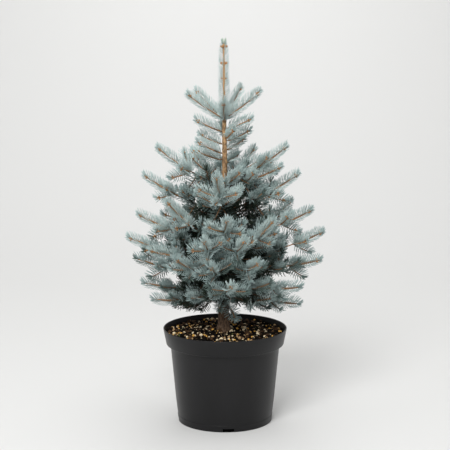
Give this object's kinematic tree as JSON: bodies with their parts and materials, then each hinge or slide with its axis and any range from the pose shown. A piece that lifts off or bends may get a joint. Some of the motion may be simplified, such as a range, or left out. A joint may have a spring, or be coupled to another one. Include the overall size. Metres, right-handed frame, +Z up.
{
  "type": "potted conifer shrub",
  "caption": "Young blue spruce with a straight leader and whorled boughs, standing in a round black nursery pot filled with potting soil.",
  "frame": {"origin": "centre of the pot's flat underside, on the floor it stands on", "axes": "+Z up along the stem, -Z out of the pot's underside, -Y towards the front, +X to the right seen from the front"},
  "size_m": [0.4543, 0.4264, 0.873],
  "materials": {
    "pot_plastic": "black moulded polypropylene, satin, faint vertical drag marks",
    "potting_soil": "dark compost with tan and cream granules, bark chips and fine roots",
    "bark": "grey-brown scaly bark, orange-brown on young twigs",
    "needles": "waxy blue-grey needles, paler at the shoot tips"
  },
  "bodies": {
    "root": {"bough_w10_1": "bark", "bough_w10_3": "bark", "bough_w10_5": "bark", "bough_w11_2": "bark", "needles_leader": "needles", "needles_w10_1": "needles", "needles_w10_2": "needles", "needles_w10_3": "needles", "needles_w10_4": "needles", "needles_w10_5": "needles", "needles_w10_6": "needles", "needles_w10_7": "needles", "needles_w11_1": "needles", "needles_w11_2": "needles", "needles_w11_3": "needles", "needles_w11_4": "needles", "needles_w11_5": "needles", "needles_w11_6": "needles", "needles_w11_7": "needles", "needles_w12_1": "needles", "needles_w12_2": "needles", "needles_w12_3": "needles", "needles_w12_4": "needles", "needles_w12_5": "needles", "needles_w12_6": "needles", "needles_w12_7": "needles", "needles_w13_1": "needles", "needles_w13_2": "needles", "needles_w13_3": "needles", "needles_w13_4": "needles", "needles_w13_5": "needles", "needles_w2_1": "needles", "needles_w2_2": "needles", "needles_w3_1": "needles", "needles_w3_2": "needles", "needles_w4_1": "needles", "needles_w4_2": "needles", "needles_w5_1": "needles", "needles_w5_2": "needles", "needles_w6_1": "needles", "needles_w6_2": "needles", "needles_w7_1": "needles", "needles_w7_2": "needles", "needles_w7_3": "needles", "needles_w7_4": "needles", "needles_w7_5": "needles", "needles_w7_6": "needles", "needles_w8_1": "needles", "needles_w8_2": "needles", "needles_w8_3": "needles", "needles_w8_4": "needles", "needles_w9_1": "needles", "needles_w9_2": "needles", "needles_w9_3": "needles", "needles_w9_4": "needles", "needles_w9_5": "needles", "needles_w9_6": "needles", "pot": "pot_plastic", "soil": "potting_soil", "trunk": "bark"}
  },
  "joints": []
}
